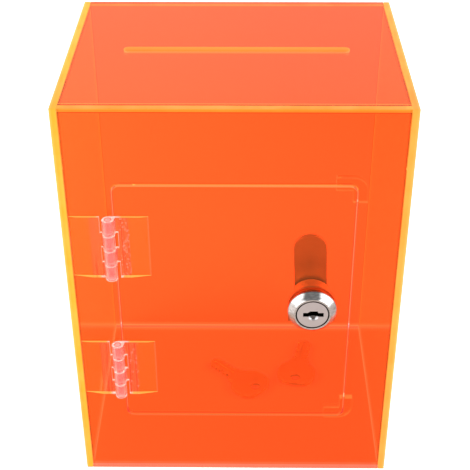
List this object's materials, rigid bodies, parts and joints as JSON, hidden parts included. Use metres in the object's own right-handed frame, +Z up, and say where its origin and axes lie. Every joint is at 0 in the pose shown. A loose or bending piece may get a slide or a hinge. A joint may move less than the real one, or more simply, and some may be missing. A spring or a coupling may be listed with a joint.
{
  "type": "money box",
  "caption": "Upright clear acrylic money box with a slot in its top and a hinged front door held by a cam lock.",
  "frame": {"origin": "middle of the base, on the surface that the box stands on", "axes": "+Z up, -Y out of the front with the door, +X to the right seen from the front"},
  "size_m": [0.155, 0.1258, 0.209],
  "materials": {
    "orange_acrylic": "clear fluorescent orange sheet, polished faces, edges that glow yellow",
    "clear_moulding": "clear moulded plastic",
    "chrome": "polished",
    "satin_plug": "satin, fine turning lines",
    "zinc_steel": "zinc plated",
    "nickel_keys": "nickel plated"
  },
  "bodies": {
    "case": {"left_panel": "orange_acrylic", "right_panel": "orange_acrylic", "top_panel": "orange_acrylic", "bottom_panel": "orange_acrylic", "front_panel": "orange_acrylic", "back_panel": "orange_acrylic", "upper_door_stop": "orange_acrylic", "lower_door_stop": "orange_acrylic", "upper_hinge_frame_leaf": "clear_moulding", "upper_hinge_pin": "clear_moulding", "lower_hinge_frame_leaf": "clear_moulding", "lower_hinge_pin": "clear_moulding", "key_1": "nickel_keys", "key_2": "nickel_keys"},
    "door": {"door_panel": "orange_acrylic", "upper_hinge_door_leaf": "clear_moulding", "lower_hinge_door_leaf": "clear_moulding", "lock_housing": "chrome", "lock_clip": "zinc_steel"},
    "plug": {"lock_plug": "satin_plug", "lock_cam": "zinc_steel", "cam_washer": "zinc_steel", "cam_screw": "zinc_steel"}
  },
  "joints": [
    {"name": "door_hinge", "type": "hinge", "parent": "case", "child": "door", "pos_m": [-0.056, -0.063, 0.10458], "axis": [0, 0, -1], "range_deg": [0, 180]},
    {"name": "lock_turn", "type": "hinge", "parent": "door", "child": "plug", "pos_m": [0.03625, -0.06, 0.10458], "axis": [0, 1, 0], "range_deg": [0, 90]}
  ]
}
